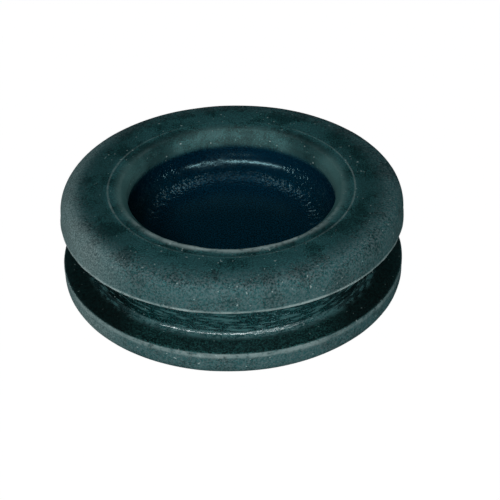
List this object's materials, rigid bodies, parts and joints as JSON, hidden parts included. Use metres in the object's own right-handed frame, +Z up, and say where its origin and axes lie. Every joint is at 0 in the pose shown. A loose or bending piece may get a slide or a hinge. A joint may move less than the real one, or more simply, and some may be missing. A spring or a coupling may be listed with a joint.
{
  "type": "rubber grommet",
  "caption": "Round blind rubber grommet with two domed flanges, a groove for a panel edge and a closed recess in each face.",
  "frame": {"origin": "on the axis at the bottom face, where the lower crown rests", "axes": "+Z up along the axis of the grommet; +X and +Y lie in the plane of the panel"},
  "size_m": [0.031, 0.031, 0.01],
  "materials": {
    "rubber": "matt moulded rubber"
  },
  "bodies": {
    "root": {"grommet": "rubber"}
  },
  "joints": []
}
